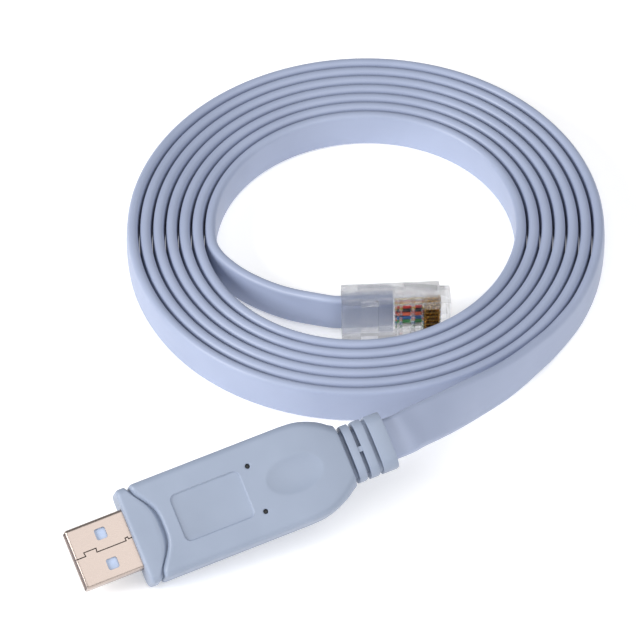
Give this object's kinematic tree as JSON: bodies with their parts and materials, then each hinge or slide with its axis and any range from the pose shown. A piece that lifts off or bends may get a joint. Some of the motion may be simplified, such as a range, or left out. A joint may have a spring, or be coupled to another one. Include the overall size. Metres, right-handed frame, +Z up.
{
  "type": "console cable",
  "caption": "Coiled flat console cable, on edge, with a moulded USB-A plug at one end and a clear RJ45 plug at the other.",
  "frame": {"origin": "on the floor, under the middle of the box around the two plugs", "axes": "+Z up from the floor the cable lies on; +X to the right and +Y away from the viewer who has the USB plug in front at the left"},
  "size_m": [0.1058, 0.1433, 0.0209],
  "materials": {
    "shell_metal": "satin",
    "insulator": "satin",
    "gold_contact": "polished",
    "housing_pvc": "satin",
    "cable_jacket": "satin",
    "clear_plastic": "polished",
    "wire_grey": "satin",
    "wire_green": "satin",
    "wire_blue": "satin",
    "wire_salmon": "satin",
    "wire_black": "satin",
    "wire_red": "satin",
    "wire_yellow": "satin",
    "wire_white": "satin"
  },
  "bodies": {
    "root": {"usb_shell": "shell_metal", "usb_tongue": "insulator", "usb_contact_1": "gold_contact", "usb_contact_2": "gold_contact", "usb_contact_3": "gold_contact", "usb_contact_4": "gold_contact", "usb_housing": "housing_pvc", "cable_lead_usb": "cable_jacket", "cable_coil": "cable_jacket", "cable_lead_rj45": "cable_jacket", "rj45_body": "clear_plastic", "rj45_contact_1": "gold_contact", "rj45_contact_2": "gold_contact", "rj45_contact_3": "gold_contact", "rj45_contact_4": "gold_contact", "rj45_contact_5": "gold_contact", "rj45_contact_6": "gold_contact", "rj45_contact_7": "gold_contact", "rj45_contact_8": "gold_contact", "rj45_wire_1": "wire_grey", "rj45_wire_2": "wire_green", "rj45_wire_3": "wire_blue", "rj45_wire_4": "wire_salmon", "rj45_wire_5": "wire_black", "rj45_wire_6": "wire_red", "rj45_wire_7": "wire_yellow", "rj45_wire_8": "wire_white"}
  },
  "joints": []
}
